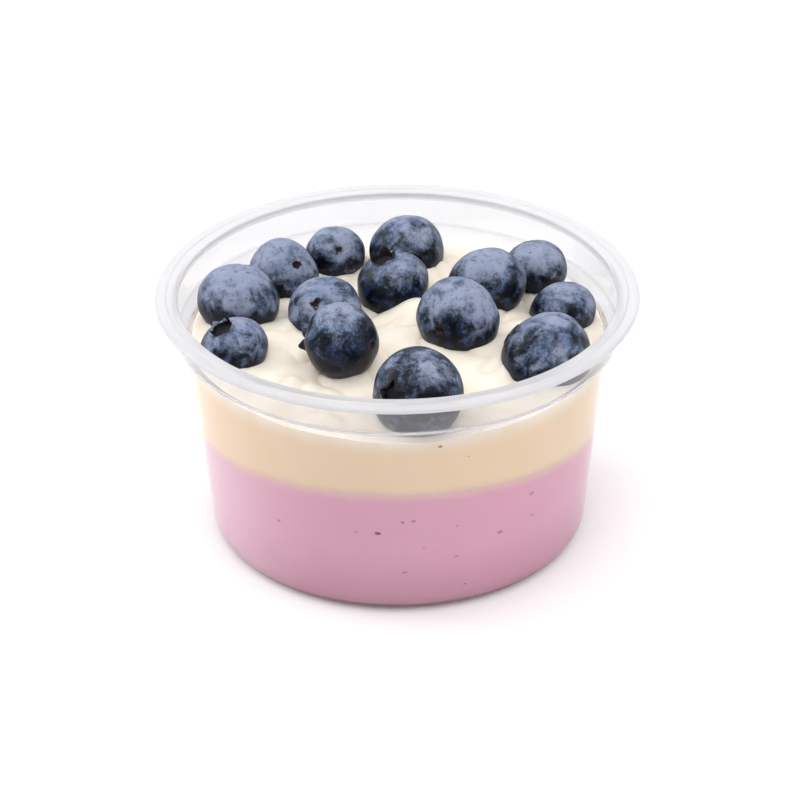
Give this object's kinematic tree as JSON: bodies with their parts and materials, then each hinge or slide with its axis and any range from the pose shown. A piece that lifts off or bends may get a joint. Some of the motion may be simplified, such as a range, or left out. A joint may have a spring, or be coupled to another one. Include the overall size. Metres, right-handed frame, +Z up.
{
  "type": "mascarpone dessert pot",
  "caption": "Round clear plastic pot with a flat rim, filled with a pink fruit layer under a spooned cream layer, topped with dark blue berries.",
  "frame": {"origin": "middle of the pot's flat base, on the surface it stands on", "axes": "+Z up along the pot's axis, -Y towards the side with the single berry at the front wall"},
  "size_m": [0.095, 0.095, 0.0553],
  "materials": {
    "clear_plastic": "clear, slightly milky, glossy",
    "pink_mousse": "smooth satin with small dark fruit specks",
    "cream": "moist satin, spooned",
    "berry_skin": "dark blue skin under a pale waxy bloom"
  },
  "bodies": {
    "root": {"pot": "clear_plastic", "pink_layer": "pink_mousse", "cream_layer": "cream", "berry_01": "berry_skin", "berry_02": "berry_skin", "berry_03": "berry_skin", "berry_04": "berry_skin", "berry_05": "berry_skin", "berry_06": "berry_skin", "berry_07": "berry_skin", "berry_08": "berry_skin", "berry_09": "berry_skin", "berry_10": "berry_skin", "berry_11": "berry_skin", "berry_12": "berry_skin", "berry_13": "berry_skin", "berry_14": "berry_skin"}
  },
  "joints": []
}
